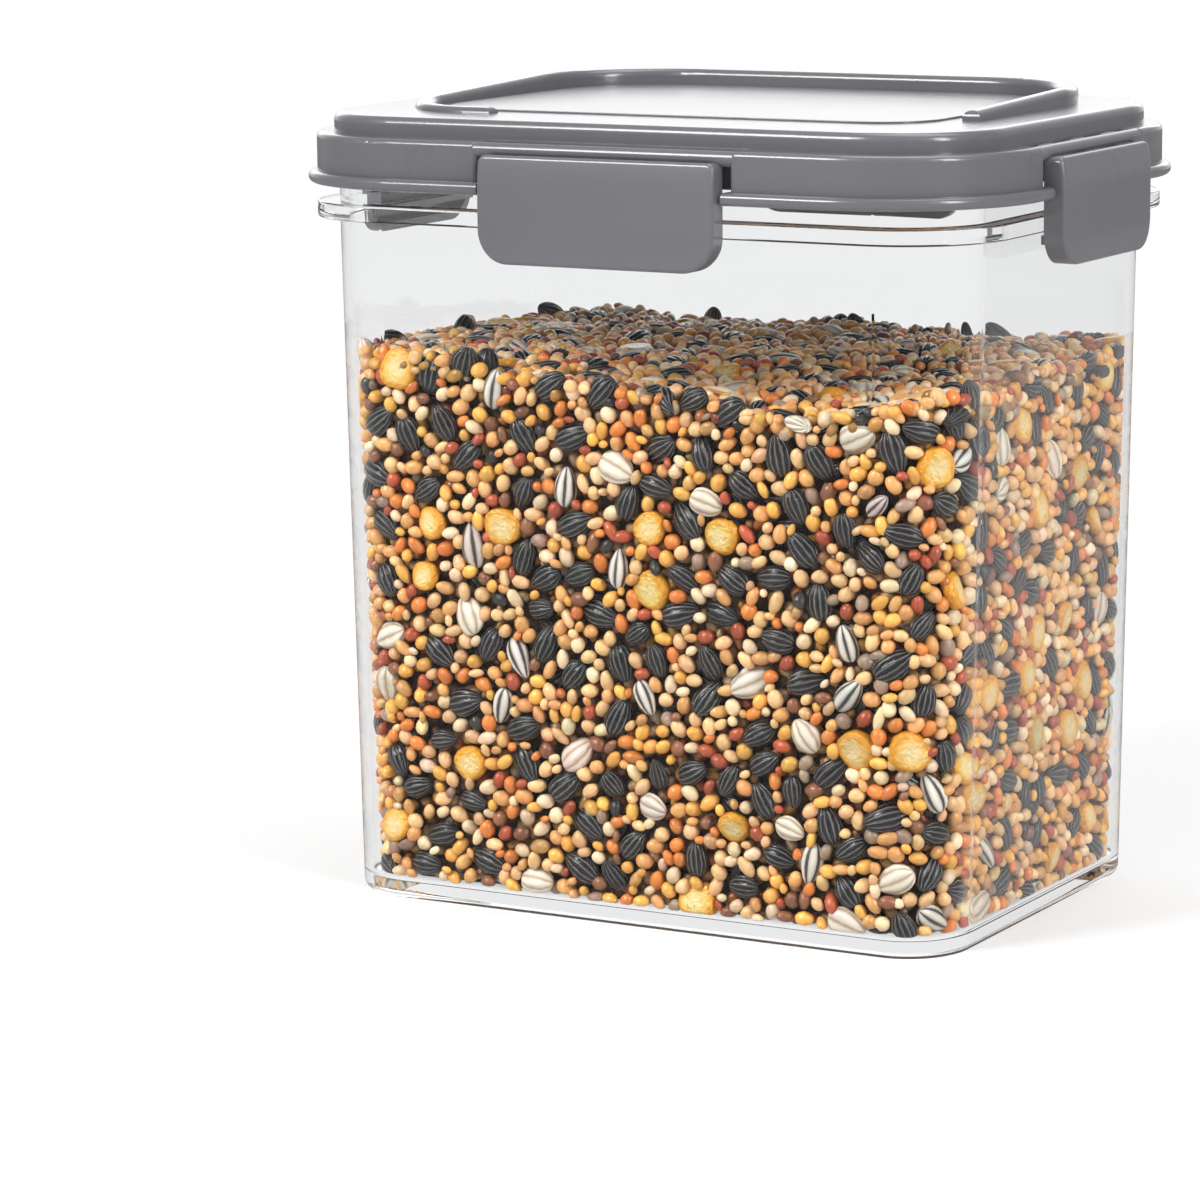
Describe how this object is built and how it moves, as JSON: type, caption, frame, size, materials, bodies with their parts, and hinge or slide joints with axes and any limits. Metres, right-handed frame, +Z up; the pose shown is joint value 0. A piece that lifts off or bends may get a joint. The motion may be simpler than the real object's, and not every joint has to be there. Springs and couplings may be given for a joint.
{
  "type": "bird seed storage container",
  "caption": "Clear tub for bird seed with a sealed clip-on lid and side latches, filled with mixed seed.",
  "frame": {"origin": "centre of the underside of the tub's foot", "axes": "+Z up, front latch towards -Y, long side along X"},
  "size_m": [0.2184, 0.165, 0.2192],
  "materials": {
    "clear_tub": "clear, glossy",
    "seed": "mixed dry seed",
    "grey_lid": "satin moulded grey",
    "seal": "silicone",
    "grey_latch": "satin moulded grey"
  },
  "bodies": {
    "tub": {"container_body": "clear_tub", "seed_fill": "seed"},
    "lid": {"lid_cover": "grey_lid", "gasket": "seal"},
    "front_latch": {"latch_front": "grey_latch"},
    "back_latch": {"latch_back": "grey_latch"},
    "left_latch": {"latch_left": "grey_latch"},
    "right_latch": {"latch_right": "grey_latch"}
  },
  "joints": [
    {"name": "lid_lift", "type": "slide", "parent": "tub", "child": "lid", "axis": [0, 0, 1], "range_m": [0, 0.08]},
    {"name": "front_latch_hinge", "type": "hinge", "parent": "lid", "child": "front_latch", "pos_m": [0, -0.07525, 0.2073], "axis": [-1, 0, 0], "range_deg": [0, 110]},
    {"name": "back_latch_hinge", "type": "hinge", "parent": "lid", "child": "back_latch", "pos_m": [0, 0.07525, 0.2073], "axis": [1, 0, 0], "range_deg": [0, 110]},
    {"name": "left_latch_hinge", "type": "hinge", "parent": "lid", "child": "left_latch", "pos_m": [-0.102, 0, 0.2073], "axis": [0, 1, 0], "range_deg": [0, 110]},
    {"name": "right_latch_hinge", "type": "hinge", "parent": "lid", "child": "right_latch", "pos_m": [0.102, 0, 0.2073], "axis": [0, -1, 0], "range_deg": [0, 110]}
  ]
}
